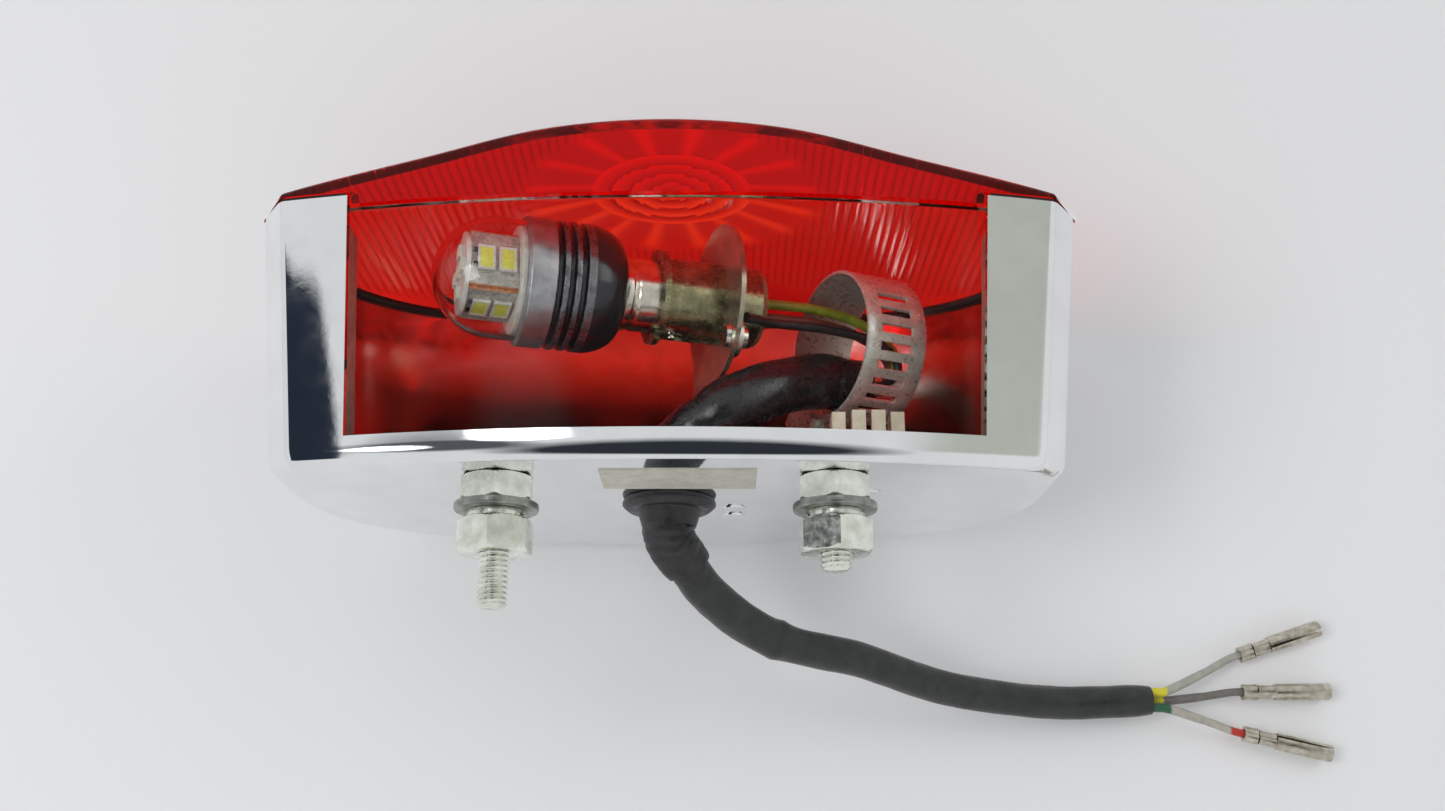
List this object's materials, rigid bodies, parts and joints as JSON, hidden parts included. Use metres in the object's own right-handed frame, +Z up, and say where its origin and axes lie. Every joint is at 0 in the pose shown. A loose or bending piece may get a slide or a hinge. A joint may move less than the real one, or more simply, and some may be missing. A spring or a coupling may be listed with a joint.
{
  "type": "motorcycle tail light",
  "caption": "Half-round chromed tail light with a bulged red lens, a clear number-plate window underneath, a bayonet LED bulb, rear mounting studs and a wired cable tail.",
  "frame": {"origin": "midway between the two studs' axes, on the flat outside of the back wall", "axes": "+Z up as mounted, -Y towards the lens and the road behind, +Y towards the mudguard (studs and cable), +X to the right seen from behind"},
  "size_m": [0.2302, 0.1172, 0.0834],
  "materials": {
    "chrome": "bright plated steel",
    "cast_rib": "dull cast",
    "red_lens": "moulded transparent red plastic, fluted inside",
    "clear": "clear plastic",
    "seal": "matt black bead",
    "label": "blank tan sticker",
    "zinc": "zinc plated",
    "rubber": "soft black rubber",
    "wire_skin": "wire insulation",
    "tin": "dull tinned brass",
    "nickel": "nickel plated brass",
    "brass": "contact brass",
    "insulator": "black insulator",
    "phenolic": "brown phenolic board",
    "heatsink": "black anodised",
    "pcb": "white circuit board",
    "copper": "copper clad board",
    "led": "yellow phosphor",
    "stainless": "stainless strip",
    "nylon": "cream moulding",
    "spring": "spring wire"
  },
  "bodies": {
    "housing": {"housing": "chrome", "left_rib": "cast_rib", "right_rib": "cast_rib", "lens": "red_lens", "lens_seal": "seal", "window": "clear", "label": "label", "jam_nuts": "zinc", "left_stud": "zinc", "right_stud": "zinc", "grommet": "rubber", "cable_sleeve": "rubber", "upper_wire": "wire_skin", "middle_wire": "wire_skin", "lower_wire": "wire_skin", "upper_terminal": "tin", "middle_terminal": "tin", "lower_terminal": "tin", "cable_boot": "rubber", "bulb_leads": "wire_skin", "earth_lead": "wire_skin", "earth_eyelet": "tin", "earth_screw": "zinc", "socket_shell": "nickel", "socket_bracket": "nickel", "bracket_rivets": "zinc", "socket_cap": "phenolic", "socket_spring": "spring", "clamp_band": "stainless", "clamp_screw_box": "stainless", "terminal_block": "nylon", "block_screw": "zinc"},
    "contact_plunger": {"socket_plunger": "phenolic", "plunger_contacts": "brass"},
    "bulb": {"bulb_base": "nickel", "bulb_pins": "nickel", "bulb_insulator": "insulator", "bulb_contacts": "brass", "bulb_heatsink": "heatsink", "led_board": "pcb", "led_tower": "copper", "led_front_board": "pcb", "led_chips": "led", "bulb_dome": "clear"},
    "left_washers": {"left_washer": "zinc", "left_lock_washer": "zinc"},
    "left_nut": {"left_nut": "zinc"},
    "right_washers": {"right_washer": "zinc", "right_lock_washer": "zinc"},
    "right_nut": {"right_nut": "zinc"},
    "clamp_screw": {"clamp_screw": "stainless"}
  },
  "joints": [
    {"name": "bulb_push", "type": "slide", "parent": "housing", "child": "contact_plunger", "axis": [0.9455, 0, 0.3256], "range_m": [0, 0.002], "stiffness_N_per_m": 600, "springref_m": -0.004},
    {"name": "bulb_twist", "type": "hinge", "parent": "contact_plunger", "child": "bulb", "pos_m": [0, -0.0422, 0.016], "axis": [0.9455, 0, 0.3256], "range_deg": [-20, 0]},
    {"name": "left_nut_travel", "type": "slide", "parent": "housing", "child": "left_washers", "axis": [0, 1, 0], "range_m": [0, 0.009]},
    {"name": "left_nut_spin", "type": "hinge", "parent": "left_washers", "child": "left_nut", "pos_m": [-0.032, 0, 0], "axis": [0, 1, 0], "range_deg": [0, 3241]},
    {"name": "right_nut_travel", "type": "slide", "parent": "housing", "child": "right_washers", "axis": [0, 1, 0], "range_m": [0, 0.002]},
    {"name": "right_nut_spin", "type": "hinge", "parent": "right_washers", "child": "right_nut", "pos_m": [0.032, 0, 0], "axis": [0, 1, 0], "range_deg": [0, 721]},
    {"name": "clamp_screw_spin", "type": "hinge", "parent": "housing", "child": "clamp_screw", "pos_m": [0.03318, -0.02295, 0.04348], "axis": [0.2818, 0.766, -0.5777], "continuous": true}
  ],
  "couplings": [
    {"joint": "left_nut_spin", "follows": "left_nut_travel", "rad_per_m": 6283.2},
    {"joint": "right_nut_spin", "follows": "right_nut_travel", "rad_per_m": 6283.2}
  ]
}
